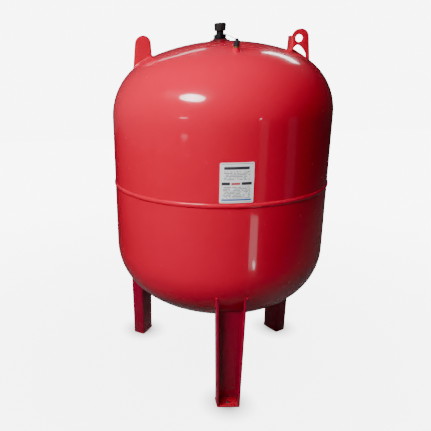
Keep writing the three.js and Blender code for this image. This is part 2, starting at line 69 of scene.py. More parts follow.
# Legs and feet
LEG_WEB = 247.0
LEG_DEPTH = 39.0
LEG_HALF = 31.5
LEG_WIDENING = 0.0227
LEG_SHEET = 4.0
LEG_BEND = 7.0
HEM_WIDTH = 9.0
HEM_THICK = 7.0
LEG_FILLET = 2.6
FOOT_THICK = 5.0
FOOT_HOLE = 6.0
LEG_AZIMUTHS = {"front": -90, "back_right": 30, "back_left": 150}

# Lifting lugs
LUG_R = 207.0
LUG_HEIGHT = 64.0
LUG_HALF = 21.5
LUG_SHEET = 5.0
LUG_FOOT = (26.0, 32.0)
LUG_SHOULDER = (20.0, 24.0)
LUG_CROWN = 22.0
LUG_WEB_DROP = 16.0
LUG_BEND = 6.0
HOOK_HOLE = 9.5
HOOK_OFFSET = -1.0
HOOK_DROP = 24.0
ARCH_OFFSET = 1.0
ARCH_HALF = 18.0
ARCH_APEX = -3.5
ARCH_HEIGHT = 23.0
LOW_FLANGE = 15.0
LUG_FILLET = 2.6

# Top fitting
STEM_R = 10.5
STEM_BORE = 6.5
STEM_PITCH = 1.814
NUT_ACROSS = 31.0
NUT_HEIGHT = 8.4
BOSS_R = 25.0
BOSS_HEIGHT = 4.0
TOP_WASHER_R = 18.5
TOP_WASHER_THICK = 2.6
STEM_RISE = 42.0
STEM_DISC_R = 26.0
CAP_RISE = 25.0
CAP_HEIGHT = 20.5
CAP_RIM = 14.1
CAP_RIBS = 12

# Charging valve
VALVE_R = 172.0
VALVE_AZIMUTH = math.radians(-85.5)
VALVE_RISE = 5.5
VALVE_HOLE = 5.3
VALVE_BOSS_R = 9.0
VALVE_ACROSS = 14.0
VALVE_HEX_TOP = 4.3
VALVE_STEM = 11.0
VALVE_STEM_R = 4.0
VALVE_PITCH = 0.794
VALVE_CAP_R = 6.6
VALVE_CAP_HEIGHT = 14.0
VALVE_BUTTON_R = 2.6
SPRING_R = 1.8
SPRING_WIRE = 0.25
SPRING_TURNS = 4

# Lanyard
LANYARD_R = 0.8
LANYARD_RISE = 5.0
LANYARD_BOW = 6.0

# Bottom flange
RING_R = 78.0
RING_BORE = 50.3
RING_FACE = 192.0
FLANGE_R = 80.0
FLANGE_THICK = 8.0
FLANGE_TOP = 188.0
SOCKET_R = 21.0
SOCKET_BORE = 15.3
SOCKET_END = 152.0
SOCKET_PITCH = 2.309
BOLT_COUNT = 8
BOLT_CIRCLE = 69.0
BOLT_R = 4.0
BOLT_PITCH = 1.25
BOLT_ACROSS = 13.0
BOLT_HEAD = 5.5
BOLT_TIP = 203.0
WASHER_R = 8.0
WASHER_THICK = 1.6

# Rating label
LABEL_HALF = math.radians(7.6)
LABEL_LOW = 592.0
LABEL_HEIGHT = 97.0
LABEL_THICK = 0.5
LABEL_CORNER = 3.0

# Bladder
BLADDER_WALL = 3.0
BLADDER_LIP_R = 61.0

# Floor's width, and how bright the backdrop looks to the camera, in metres and plain strength
FLOOR_SIZE = 9.0
BACKDROP = 8.0

# The gap that the CAD leaves between neighbouring parts
GAP = 0.3

CROWN_CENTRE = -math.sqrt((CROWN - KNUCKLE) ** 2 - (SHELL_R - KNUCKLE) ** 2)


def polar(radius, angle):
    return radius * math.cos(angle), radius * math.sin(angle)


def upper_surface(radius):
    """Height of the upper end's outer surface at a distance from the axis."""
    inner = SHELL_R - KNUCKLE
    if radius < CROWN * inner / (CROWN - KNUCKLE):
        rise = CROWN_CENTRE + math.sqrt(CROWN ** 2 - radius ** 2)
    else:
        rise = math.sqrt(max(KNUCKLE ** 2 - (radius - inner) ** 2, 0))
    return SEAM_Z + STRAIGHT + rise


def lower_surface(radius):
    return 2 * SEAM_Z - upper_surface(radius)


CROWN_Z = upper_surface(0)
BOSS_TOP = CROWN_Z + BOSS_HEIGHT
VALVE_X, VALVE_Y = polar(VALVE_R, VALVE_AZIMUTH)
VALVE_SEAT = upper_surface(VALVE_R) + VALVE_RISE


# Mesh helpers

def mesh_of(verts, faces):
    mesh = bpy.data.meshes.new("made")
    mesh.from_pydata([tuple(v) for v in verts], [], faces)
    work = bmesh.new()
    work.from_mesh(mesh)
    bmesh.ops.remove_doubles(work, verts=work.verts, dist=1e-4)
    bmesh.ops.recalc_face_normals(work, faces=work.faces)
    work.to_mesh(mesh)
    work.free()
    return mesh


def revolve(outline, segments=96, warp=None):
    """A body of revolution from [radius, height] points, closed on itself or starting and ending on the axis.
    warp(radius, height, angle) may move a point in and out and up and down."""
    verts, rings = [], []
    for radius, height in outline:
        start = len(verts)
        if radius < 1e-6:
            verts.append((0, 0, height))
            rings.append([start])
            continue
        for i in range(segments):
            angle = TAU * i / segments
            r, z = warp(radius, height, angle) if warp else (radius, height)
            verts.append((*polar(r, angle), z))
        rings.append(list(range(start, start + segments)))
    pairs = list(zip(rings, rings[1:]))
    if len(rings[0]) > 1:
        pairs.append((rings[-1], rings[0]))
    faces = []
    for low, high in pairs:
        if len(low) == len(high) == 1:
            continue
        for i in range(segments):
            j = (i + 1) % segments
            if len(low) == 1:
                faces.append((low[0], high[j], high[i]))
            elif len(high) == 1:
                faces.append((low[i], low[j], high[0]))
            else:
                faces.append((low[i], low[j], high[j], high[i]))
    return mesh_of(verts, faces)


def ring_outline(inner, outer, low, high):
    return [(inner, low), (outer, low), (outer, high), (inner, high)]


def plug(radius, low, high, segments):
    """A round tool that drills a hole."""
    return revolve(ring_outline(0, radius, low, high), segments)


def loft(sections, closed=False):
    """A body through loops of points, all with the same number of points: capped, or closed into a ring."""
    n, count = len(sections[0]), len(sections)
    faces = [] if closed else [tuple(reversed(range(n))), tuple(range((count - 1) * n, count * n))]
    for k in range(count if closed else count - 1):
        low, high = k * n, (k + 1) % count * n
        for i in range(n):
            j = (i + 1) % n
            faces.append((low + i, low + j, high + j, high + i))
    return mesh_of([v for section in sections for v in section], faces)


def prism_y(points, low, high):
    """A prism over a polygon of the x-z plane, from y = low to y = high."""
    return loft([[(x, y, z) for x, z in points] for y in (low, high)])


def rounded(points, radius, steps=4, closed=True):
    """The polygon or line with its corners rounded. radius is one number or one for each corner."""
    out = []
    count = len(points)
    for i, corner in enumerate(points):
        r = radius[i] if isinstance(radius, (list, tuple)) else radius
        if r <= 0 or (not closed and i in (0, count - 1)):
            out.append(tuple(corner))
            continue
        p = Vector(corner)
        before = Vector(points[i - 1]) - p
        after = Vector(points[(i + 1) % count]) - p
        half = before.angle(after) / 2
        if half > math.pi / 2 - 0.02:
            out.append(tuple(corner))
            continue
        back = min(r / math.tan(half), 0.48 * before.length, 0.48 * after.length)
        r = back * math.tan(half)
        before.normalize()
        after.normalize()
        centre = p + (before + after).normalized() * (r / math.sin(half))
        start = p + before * back - centre
        end = p + after * back - centre
        first = math.atan2(start.y, start.x)
        turn = (math.atan2(end.y, end.x) - first + math.pi) % TAU - math.pi
        for k in range(steps + 1):
            angle = first + turn * k / steps
            out.append((centre.x + r * math.cos(angle), centre.y + r * math.sin(angle)))
    return out


def sweep(path, radius, sides=10, closed=False):
    """A tube along points. radius is one number or a function of the point's index."""
    path = [Vector(p) for p in path]
    count = len(path)
    sections = []
    normal = None
    for i, p in enumerate(path):
        ahead = path[(i + 1) % count] if closed or i + 1 < count else p
        behind = path[i - 1] if closed or i > 0 else p
        along = (ahead - behind).normalized()
        if normal is None:
            normal = along.orthogonal().normalized()
        normal = (normal - along * normal.dot(along)).normalized()
        side = along.cross(normal)
        r = radius(i) if callable(radius) else radius
        section = []
        for k in range(sides):
            angle = TAU * k / sides
            section.append(p + (normal * math.cos(angle) + side * math.sin(angle)) * r)
        sections.append(section)
    return loft(sections, closed)


def resample(points, spacing):
    """Points at an even spacing along a line."""
    points = [Vector(p) for p in points]
    lengths = [0.0]
    for a, b in zip(points, points[1:]):
        lengths.append(lengths[-1] + (b - a).length)
    count = max(2, round(lengths[-1] / spacing))
    out = []
    k = 0
    for i in range(count + 1):
        target = lengths[-1] * i / count
        while k < len(points) - 2 and lengths[k + 1] < target:
            k += 1
        span = max(lengths[k + 1] - lengths[k], 1e-9)
        out.append(points[k].lerp(points[k + 1], (target - lengths[k]) / span))
    return out


def smooth_line(points, per_span=8):
    """A Catmull-Rom curve through the points."""
    points = [Vector(p) for p in points]
    padded = [points[0] * 2 - points[1], *points, points[-1] * 2 - points[-2]]
    out = []
    for k in range(len(points) - 1):
        a, b, c, d = padded[k:k + 4]
        for i in range(per_span):
            t = i / per_span
            out.append(0.5 * ((2 * b) + (c - a) * t + (2 * a - 5 * b + 4 * c - d) * t ** 2
                              + (3 * b - a - 3 * c + d) * t ** 3))
    out.append(points[-1])
    return out


def placed(name, data):
    """A new object in the scene."""
    made = bpy.data.objects.new(name, data)
    bpy.context.scene.collection.objects.link(made)
    return made


def settled(obj):
    """The mesh of an object with its modifiers applied; the object is removed."""
    bpy.context.view_layer.update()
    graph = bpy.context.evaluated_depsgraph_get()
    mesh = bpy.data.meshes.new_from_object(obj.evaluated_get(graph))
    bpy.data.objects.remove(obj)
    return mesh


def combine(mesh, operation, *tools):
    """Boolean of a mesh with others, one after the other."""
    for tool in tools:
        base, other = placed("base", mesh), placed("tool", tool)
        step = base.modifiers.new("step", "BOOLEAN")
        step.solver = "EXACT"
        step.operation = operation
        step.object = other
        mesh = settled(base)
        bpy.data.objects.remove(other)
    return mesh


def bevelled(mesh, width, segments=2, angle=35):
    base = placed("base", mesh)
    edge = base.modifiers.new("edge", "BEVEL")
    edge.width = width
    edge.segments = segments
    edge.limit_method = "ANGLE"
    edge.angle_limit = math.radians(angle)
    return settled(base)


def moved(mesh, x=0.0, y=0.0, z=0.0, turn=0.0):
    mesh.transform(Matrix.Translation((x, y, z)) @ Matrix.Rotation(turn, 4, "Z"))
    return mesh


def piece(name, mesh, finish, *nodes, body="vessel", smooth=38):
    """Makes a piece in metres from a mesh in millimetres. It rides on the body and stands for the nodes."""
    mesh.transform(Matrix.Scale(MM, 4))
    mesh.name = name
    mesh.materials.clear()
    material, slot = FINISHES[finish]
    mesh.materials.append(material)
    mesh.shade_smooth()
    mesh.set_sharp_from_angle(angle=math.radians(smooth))
    made = placed(name, mesh)
    if body:
        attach(made, body)
    if nodes:
        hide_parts(*nodes)
    return made


# Materials

class Graph:
    """Short calls to build the nodes of a material or of the world."""

    def __init__(self, name, group=bpy.data.materials, shader="Principled BSDF", coordinates="Object"):
        self.made = group.new(name)
        self.made.use_nodes = True
        self.tree = self.made.node_tree
        self.shader = self.tree.nodes[shader]
        self.place = self.node("ShaderNodeTexCoord")[coordinates]

    def put(self, value, socket):
        if isinstance(value, bpy.types.NodeSocket):
            self.tree.links.new(value, socket)
        else:
            socket.default_value = value

    def node(self, kind, inputs={}, **settings):
        """A new node with its settings and inputs. The result is its outputs."""
        made = self.tree.nodes.new(kind)
        for key, value in settings.items():
            setattr(made, key, value)
        for key, value in inputs.items():
            self.put(value, made.inputs[key])
        return made.outputs

    def noise(self, scale, detail, place=None):
        inputs = {"Vector": place or self.place, "Scale": scale, "Detail": detail}
        return self.node("ShaderNodeTexNoise", inputs)["Fac"]

    def stretched(self, x, y, z):
        return self.node("ShaderNodeMapping", {"Vector": self.place, "Scale": (x, y, z)})["Vector"]

    def cells(self, scale):
        return self.node("ShaderNodeTexVoronoi", {"Vector": self.place, "Scale": scale})["Color"]

    def span(self, value, low, high, to_low=0.0, to_high=1.0):
        inputs = {"Value": value, "From Min": low, "From Max": high, "To Min": to_low, "To Max": to_high}
        return self.node("ShaderNodeMapRange", inputs)["Result"]

    def math(self, operation, a, b=0.0):
        return self.node("ShaderNodeMath", {0: a, 1: b}, operation=operation)[0]

    def mix(self, factor, a, b):
        return self.node("ShaderNodeMix", {0: factor, 6: a, 7: b}, data_type="RGBA")[2]

    def axes(self):
        return self.node("ShaderNodeSeparateXYZ", {0: self.place})

    def bump(self, *layers):
        """layers are (height, distance in metres, strength), each on top of the one before."""
        below = {}
        for height, distance, strength in layers:
            inputs = {"Height": height, "Distance": distance, "Strength": strength, **below}
            below = {"Normal": self.node("ShaderNodeBump", inputs)["Normal"]}
        self.put(below["Normal"], self.shader.inputs["Normal"])

    def set(self, **inputs):
        for key, value in inputs.items():
            self.put(value, self.shader.inputs[key.replace("_", " ")])


def rgb(r, g, b):
    return (r, g, b, 1.0)


def red_paint(name, lightness=1.0):
    """Glossy red enamel; a lightness under one darkens the red as painted shade, for the legs in the shade
    under the vessel.
    """
    g = Graph(name)

    def tone(r, green, b):
        return rgb(r * lightness, green, b)

    broad = g.noise(3.0, 3)
    mottle = g.noise(40.0, 5)
    colour = g.mix(g.span(broad, 0.35, 0.65), tone(0.66, 0.001, 0.034), tone(0.58, 0.001, 0.025))
    colour = g.mix(g.span(mottle, 0.5, 0.9, 0.0, 0.25), colour, tone(0.70, 0.005, 0.040))
    low = g.span(g.axes()["Z"], 0.0, 0.05, 0.55, 0.0)
    grime = g.math("MULTIPLY", low, g.span(g.noise(60.0, 6), 0.4, 0.7))
    dust = g.span(g.noise(700.0, 2), 0.62, 0.75)
    g.set(
        Base_Color=g.mix(grime, colour, rgb(0.09, 0.035, 0.03)),
        Roughness=g.math("ADD", g.span(mottle, 0.3, 0.8, 0.16, 0.30), g.math("MULTIPLY", grime, 0.5)),
        Specular_IOR_Level=0.12,
        Coat_Weight=0.9,
        Coat_Roughness=g.math("ADD", g.span(broad, 0.3, 0.7, 0.04, 0.09), g.math("MULTIPLY", dust, 0.04)),
        Coat_IOR=1.5,
    )
    g.bump((g.noise(260.0, 2), 0.0002, 0.16), (g.noise(26.0, 2), 0.0008, 0.10))
    return g.made


def two_tones(g, pattern, low, high, first, second, smoothest, roughest, **settings):
    """One tone drifts into the other with the pattern. The roughness drifts with it, or with wear=."""
    wear = settings.pop("wear", pattern)
    g.set(
        Base_Color=g.mix(g.span(pattern, low, high), rgb(*first), rgb(*second)),
        Roughness=g.span(wear, 0.3, 0.7, smoothest, roughest),
        **settings,
    )


def black_plastic():
    g = Graph("black_plastic")
    two_tones(g, g.noise(120.0, 5), 0.35, 0.7, (0.010, 0.010, 0.011), (0.024, 0.024, 0.026), 0.38, 0.58)
    g.bump((g.noise(1400.0, 2), 0.0001, 0.3), (g.noise(160.0, 3), 0.0003, 0.15))
    return g.made


def zinc_steel():
    g = Graph("zinc_steel")
    spangle = g.cells(160.0)
    fine = g.noise(240.0, 6)
    stain = g.noise(35.0, 4)
    tone = g.mix(0.25, rgb(0.50, 0.51, 0.53), spangle)
    grey = g.node("ShaderNodeHueSaturation", {"Saturation": 0.08, "Color": tone})["Color"]
    g.set(
        Base_Color=g.mix(g.span(stain, 0.55, 0.8, 0.0, 0.6), grey, rgb(0.22, 0.21, 0.20)),
        Metallic=0.95,
        Roughness=g.span(fine, 0.3, 0.7, 0.28, 0.50),
    )
    g.bump((fine, 0.0002, 0.25))
    return g.made


def dark_steel():
    """Blackened steel, worn brighter in places."""
    g = Graph("dark_steel")
    fine = g.noise(300.0, 5)
    two_tones(g, g.noise(70.0, 4), 0.55, 0.75, (0.05, 0.052, 0.055), (0.30, 0.30, 0.31), 0.22, 0.42,
              wear=fine, Metallic=0.9)
    g.bump((fine, 0.0002, 0.2))
    return g.made


def painted_shade_red():
    """Red paint darkened as painted shade round the top fitting, under its nut and washer."""
    g = Graph("painted_shade_red")
    two_tones(g, g.noise(90.0, 5), 0.35, 0.65, (0.055, 0.006, 0.010), (0.16, 0.006, 0.014), 0.35, 0.6,
              Specular_IOR_Level=0.3)
    g.bump((g.noise(500.0, 3), 0.0002, 0.25))
    return g.made


def brass():
    g = Graph("brass")
    lines = g.noise(60.0, 4, g.stretched(1, 1, 12))
    two_tones(g, g.noise(50.0, 4), 0.4, 0.7, (0.62, 0.42, 0.16), (0.42, 0.27, 0.10), 0.22, 0.42,
              wear=lines, Metallic=1.0)
    g.bump((lines, 0.0001, 0.25))
    return g.made


def spring_steel():
    g = Graph("spring_steel")
    fine = g.noise(500.0, 5)
    two_tones(g, fine, 0.35, 0.7, (0.42, 0.43, 0.45), (0.28, 0.28, 0.29), 0.25, 0.45, Metallic=1.0)
    g.bump((fine, 0.0001, 0.2))
    return g.made


def bladder_rubber():
    g = Graph("bladder_rubber")
    two_tones(g, g.noise(9.0, 5), 0.45, 0.75, (0.016, 0.016, 0.017), (0.045, 0.043, 0.041), 0.62, 0.85)
    g.bump((g.noise(300.0, 4), 0.0003, 0.4))
    return g.made


def label_film():
    """White film with generic print: blocks, rules and rows of dashes that say nothing."""
    g = Graph("label_film")
    axes = g.axes()
    half_width = SHELL_R * math.sin(LABEL_HALF) * MM
    across = g.span(axes["X"], -half_width, half_width)
    up = g.span(axes["Z"], LABEL_LOW * MM, (LABEL_LOW + LABEL_HEIGHT) * MM)

    def block(left, right, low, high):
        inside = g.math("MULTIPLY", g.math("GREATER_THAN", across, left), g.math("LESS_THAN", across, right))
        level = g.math("MULTIPLY", g.math("GREATER_THAN", up, low), g.math("LESS_THAN", up, high))
        return g.math("MULTIPLY", inside, level)

    # Rows of dashes of uneven length, as print looks from afar
    rows, columns, filled = 26, 30, 0.68
    column = g.math("FLOOR", g.math("MULTIPLY", across, columns))
    row = g.math("FLOOR", g.math("MULTIPLY", up, rows))
    cell = g.node("ShaderNodeCombineXYZ", {0: column, 1: row})[0]
    chance = g.node("ShaderNodeTexWhiteNoise", {"Vector": cell}, noise_dimensions="3D")["Value"]
    line = g.math("LESS_THAN", g.math("FRACT", g.math("MULTIPLY", up, rows)), 0.5)
    dashes = g.math("MULTIPLY", g.math("LESS_THAN", chance, filled), line)

    def written(*corners):
        return g.math("MULTIPLY", block(*corners), dashes)

    colour = g.mix(g.span(g.noise(60.0, 3), 0.3, 0.7), rgb(0.95, 0.95, 0.94), rgb(0.90, 0.90, 0.895))
    ink, faint = rgb(0.03, 0.03, 0.04), rgb(0.22, 0.22, 0.25)
    blue, red = rgb(0.03, 0.10, 0.42), rgb(0.50, 0.03, 0.04)
    printed = [
        (block(0.12, 0.86, 0.83, 0.90), ink),
        (written(0.12, 0.88, 0.56, 0.80), faint),
        (written(0.10, 0.90, 0.12, 0.42), faint),
        (block(0.06, 0.30, 0.45, 0.52), ink),
        (block(0.34, 0.60, 0.455, 0.505), red),
        (block(0.64, 0.94, 0.45, 0.52), ink),
        (block(0.06, 0.94, 0.06, 0.10), blue),
        (block(0.03, 0.97, 0.965, 0.975), ink),
        (block(0.03, 0.97, 0.02, 0.03), ink),
    ]
    for mask, tone in printed:
        colour = g.mix(mask, colour, tone)
    g.set(
        Base_Color=colour,
        Roughness=g.span(g.noise(90.0, 4), 0.3, 0.7, 0.26, 0.42),
        Coat_Weight=0.3,
        Coat_Roughness=0.15,
    )
    g.bump((g.noise(45.0, 3), 0.0003, 0.12))
    return g.made


# The finish's material, and the slot of the record that it comes from
FINISHES = {
    "red": (red_paint("red_paint"), "red_paint"),
    # The legs' copy of the red is darker: painted shade, for the shade under the vessel.
    "leg": (red_paint("shaded_leg_paint", 0.55), "red_paint"),
    # The top fitting's boss and weld get a dark copy of the red: painted shade.
    "painted_shade": (painted_shade_red(), "red_paint"),
    "black": (black_plastic(), "black_plastic"),
    "zinc": (zinc_steel(), "zinc_steel"),
    "dark": (dark_steel(), "zinc_steel"),
    "brass": (brass(), "brass"),
    "spring": (spring_steel(), "spring_steel"),
    "rubber": (bladder_rubber(), "bladder_rubber"),
    "label": (label_film(), "label_film"),
}


# Shells and waist weld

def end_curve(inset, hole):
    """[radius, height] points of a torispherical end, from its rim to its hole, above the drum's end."""
    inner = SHELL_R - KNUCKLE
    meeting = math.atan2(inner, -CROWN_CENTRE)
    last = math.asin(hole / (CROWN - inset))
    steps = 26
    points = []
    for i in range(steps + 1):
        rise = (math.pi / 2 - meeting) * i / steps
        points.append((inner + (KNUCKLE - inset) * math.cos(rise), (KNUCKLE - inset) * math.sin(rise)))
    for i in range(1, steps + 1):
        lean = meeting + (last - meeting) * i / steps
        points.append(((CROWN - inset) * math.sin(lean), CROWN_CENTRE + (CROWN - inset) * math.cos(lean)))
    return points


def drawn_steel(radius, height, angle):
    """Pressed sheet isn't quite true: the surface wanders by about a tenth of a millimetre."""
    where = Vector((*polar(radius, angle), height))
    wander = 0.16 * noise.noise(where / 95) + 0.05 * noise.noise(where / 38)
    return radius - 0.12 + wander, height


def shell_half(hole):
    drum_steps = 12
    drum = [SEAM_GAP + (STRAIGHT - SEAM_GAP) * i / drum_steps for i in range(drum_steps)]
    outside = [(SHELL_R, z) for z in drum] + [(r, z + STRAIGHT) for r, z in end_curve(0, hole)]
    inside = [(SHELL_R - SHELL_WALL, z) for z in drum]
    inside += [(r, z + STRAIGHT) for r, z in end_curve(SHELL_WALL, hole)]
    return revolve(outside + inside[::-1], SHELL_SEGMENTS, drawn_steel)


def dome_tool(clearance, segments):
    """What the upper end fills, to trim the parts that are welded onto it."""
    dome = [(r + clearance / 2, z + SEAM_Z + STRAIGHT + clearance) for r, z in end_curve(0, 0.0)[:-1]]
    return revolve([(0, 700), (SHELL_R, 700)] + dome + [(0, CROWN_Z + clearance)], segments)


def make_shells():
    drill = moved(plug(VALVE_HOLE, 900, 980, 32), VALVE_X, VALVE_Y)
    upper = combine(moved(shell_half(TOP_HOLE), z=SEAM_Z), "DIFFERENCE", drill)
    piece("upper_shell_skin", upper, "red", "upper_shell")
    lower = shell_half(BOTTOM_HOLE)
    lower.transform(Matrix.Translation((0, 0, SEAM_Z)) @ Matrix.Rotation(math.pi, 4, "X"))
    piece("lower_shell_skin", lower, "red", "lower_shell")


def make_waist_weld():
    """The bead is laid in one run, so its ripples lean round the waist."""
    steps = 10
    under = SHELL_R - 0.4
    outline = [(SHELL_R - SHELL_WALL, -WELD_ROOT), (under, -WELD_ROOT), (under, -WELD_HALF)]
    for i in range(steps + 1):
        across = -1 + 2 * i / steps
        outline.append((SHELL_R + 0.1 + WELD_HEIGHT * (1 - across ** 2) ** 0.8, across * WELD_HALF))
    outline += [(under, WELD_HALF), (under, WELD_ROOT), (SHELL_R - SHELL_WALL, WELD_ROOT)]
    ripples = 430

    def ripple(radius, height, angle):
        if radius <= SHELL_R + 0.05:
            return radius, height
        where = Vector((math.cos(angle), math.sin(angle), 0)) * 9
        crest = math.sin(ripples * angle + 0.35 * abs(height))
        sway = 0.5 * noise.noise(where * 2)
        return radius + 0.10 * crest + 0.16 * noise.noise(where), height + sway

    bead = revolve(outline, ripples * 3, ripple)
    piece("waist_bead", moved(bead, z=SEAM_Z), "red", "girth_weld", smooth=60)


# Welds

def weld(name, line, radius, closed=False, finish="red"):
    """A fillet weld along a line: a round bead with the ripples of its passes."""
    points = resample(line, 1.3)
    if closed:
        points.pop()

    def lumpy(i):
        passes = 0.07 * math.sin(i * TAU / 2.4)
        lumps = 0.16 * noise.noise(points[i] / 11) + 0.08 * noise.noise(points[i] / 4)
        return radius * (1 + passes + lumps)

    return piece(name, sweep(points, lumpy, 10, closed), finish, smooth=70)


def ring_line(radius, height, count=160, x=0, y=0):
    """Points on a ring round (x, y); height(distance from the vessel's axis) gives their height."""
    line = [polar(radius, TAU * i / count) for i in range(count + 1)]
    return [Vector((x + px, y + py, height(math.hypot(x + px, y + py)))) for px, py in line]


# Legs

def leg_outline():
    """Cross-section of a leg at floor level, x outwards: a channel open outwards, with hemmed edges."""
    web, tip, half = LEG_WEB, LEG_WEB + LEG_DEPTH, LEG_HALF
    hem_in, hem_side = tip - HEM_WIDTH, half - HEM_THICK
    wall = half - LEG_SHEET
    corners = [
        (tip, -half, 2.4), (tip, -hem_side, 2.4), (hem_in, -hem_side, 1.2), (hem_in, -wall, 0.8),
        (web + LEG_SHEET, -wall, LEG_BEND - LEG_SHEET), (web + LEG_SHEET, wall, LEG_BEND - LEG_SHEET),
        (hem_in, wall, 0.8), (hem_in, hem_side, 1.2), (tip, hem_side, 2.4), (tip, half, 2.4),
        (web, half, LEG_BEND), (web, -half, LEG_BEND),
    ]
    return rounded([c[:2] for c in corners], [c[2] for c in corners], 5)


def spread(x, y, height):
    """The leg's sides lean apart upwards."""
    return x, y + math.copysign(LEG_WIDENING * height, y) if y else y


def leg_top(x, y):
    """Height over the foot plate where a line of the leg meets the lower end."""
    base = FOOT_THICK + 0.3
    height = 330.0
    for _ in range(6):
        px, py = spread(x, y, height)
        height = lower_surface(math.hypot(px, py)) - 0.1 - base
    return height


def leg_contour():
    """The leg's outer contour, from one hem round the web to the other."""
    tip, half = LEG_WEB + LEG_DEPTH, LEG_HALF
    corners = [(tip, -half), (LEG_WEB, -half), (LEG_WEB, half), (tip, half)]
    line = rounded(corners, LEG_BEND, 6, closed=False)
    return [tuple(p) for p in resample([Vector((x, y, 0)) for x, y in line], 2.5)]


def make_leg(place, azimuth):
    base = FOOT_THICK + 0.1
    turn = math.radians(azimuth)
    steps = 10
    section = leg_outline()
    tops = [leg_top(x, y) for x, y in section]
    sections = []
    for k in range(steps + 1):
        loop = []
        for (x, y), top in zip(section, tops):
            px, py = spread(x, y, top * k / steps)
            loop.append((px, py, base + (top + 0.2) * k / steps))
        sections.append(loop)
    # The channel and its foot weld have the legs' darker red: painted shade.
    piece(f"leg_{place}_channel", moved(loft(sections), turn=turn), "leg", f"leg_{place}", smooth=30)

    turned = Matrix.Rotation(turn, 4, "Z")
    top_line, base_line = [], []
    for x, y, _ in leg_contour():
        px, py = spread(x, y, leg_top(x, y))
        top_line.append(turned @ Vector((px, py, lower_surface(math.hypot(px, py)) - 0.6)))
        base_line.append(turned @ Vector((x, y, FOOT_THICK + 0.5)))
    weld(f"leg_{place}_top_weld", top_line, LEG_FILLET)
    weld(f"leg_{place}_foot_weld", base_line[3:-3], 1.5, finish="leg")


def make_foot(place, azimuth):
    low, high = LEG_WEB, LEG_WEB + LEG_DEPTH
    corners = [(low, -LEG_HALF), (high, -LEG_HALF), (high, LEG_HALF), (low, LEG_HALF)]
    outline = rounded(corners, 4.0, 6)
    plate = loft([[(x, y, z) for x, y in outline] for z in (0, FOOT_THICK)])
    drill = moved(plug(FOOT_HOLE, -5, 15, 40), (low + high) / 2 + 2)
    plate = bevelled(combine(plate, "DIFFERENCE", drill), 0.7)
    piece(f"foot_{place}_plate", moved(plate, turn=math.radians(azimuth)), "red", f"foot_{place}")


# Lifting lugs

LUG_GROUND = upper_surface(LUG_R)
LUG_TOP = LUG_GROUND + LUG_HEIGHT
LUG_BASE = LUG_GROUND - 40.0


def lug_edge(height, side):
    """x of the lug's inner (side 0) or outer (side 1) edge at a height."""
    sign = (-1, 1)[side]
    shoulder = LUG_TOP - LUG_CROWN
    if height <= shoulder:
        share = (height - LUG_BASE) / (shoulder - LUG_BASE)
        return LUG_R + sign * (LUG_FOOT[side] + (LUG_SHOULDER[side] - LUG_FOOT[side]) * share)
    middle = LUG_R + (LUG_SHOULDER[1] - LUG_SHOULDER[0]) / 2
    half = (LUG_SHOULDER[0] + LUG_SHOULDER[1]) / 2
    return middle + sign * half * math.sqrt(max(1 - ((height - shoulder) / LUG_CROWN) ** 2, 0))


def lug_channel(low, high):
    """The bent sheet below the web's top edge, lofted through its U-shaped sections."""
    sections = []
    steps = 14
    for k in range(steps + 1):
        z = low + (high - low) * k / steps
        bend = LUG_BEND if z < high - 9 else 1.0 + (LUG_BEND - 1.0) * (high - z) / 9
        inner, outer = lug_edge(z, 0), lug_edge(z, 1)
        wall = LUG_HALF - LUG_SHEET
        inner_bend = max(bend - LUG_SHEET, 0.4)
        corners = [
            (outer, -LUG_HALF, 0), (outer, -wall, 0),
            (inner + LUG_SHEET, -wall, inner_bend), (inner + LUG_SHEET, wall, inner_bend),
            (outer, wall, 0), (outer, LUG_HALF, 0),
            (inner, LUG_HALF, bend), (inner, -LUG_HALF, bend),
        ]
        loop = rounded([c[:2] for c in corners], [c[2] for c in corners], 5)
        sections.append([(x, y, z) for x, y in loop])
    return loft(sections)


def lug_cheek_top(low, y_low, y_high):
    steps = 24
    points = []
    for side in (1, 0):
        heights = [low + (LUG_TOP - low) * math.sin(math.pi / 2 * k / steps) for k in range(steps + 1)]
        line = [(lug_edge(z, side), z) for z in heights]
        points += line if side else line[::-1][1:]
    return prism_y(points, y_low, y_high)


def arch_outline():
    """The arch cut out of the foot of one cheek."""
    middle = LUG_R + ARCH_OFFSET
    left, right, top = middle - ARCH_HALF, middle + ARCH_HALF, LUG_GROUND + ARCH_HEIGHT
    apex = LUG_R + ARCH_APEX
    arch = [(left - 3, LUG_GROUND - 35), (right + 3, LUG_GROUND - 35), (right, LUG_GROUND)]
    steps = 12
    for start, via, end in (((right, LUG_GROUND), (apex + 10, top), (apex, top)),
                            ((apex, top), (apex - 8, top), (left, LUG_GROUND + 9))):
        for k in range(1, steps + 1):
            t = k / steps
            shares = (1 - t) ** 2, 2 * t * (1 - t), t * t
            arch.append(tuple(sum(w * v for w, v in zip(shares, axis)) for axis in zip(start, via, end)))
    return arch


def open_side_outline():
    """What is cut off the other cheek where only its low flange stays."""
    inner = LUG_R - LUG_SHOULDER[0] + LUG_SHEET
    edge = LUG_R - LUG_FOOT[0]
    outside = LUG_R + LUG_FOOT[1] + 10
    web_top = LUG_TOP - LUG_WEB_DROP
    corners = [
        (inner, upper_surface(inner) + LOW_FLANGE), (outside, upper_surface(outside) + LOW_FLANGE),
        (outside, LUG_TOP + 5), (edge, LUG_TOP + 5), (edge, web_top), (inner, web_top),
    ]
    return rounded(corners, [7, 0, 0, 0, 0, 1.5], 6)


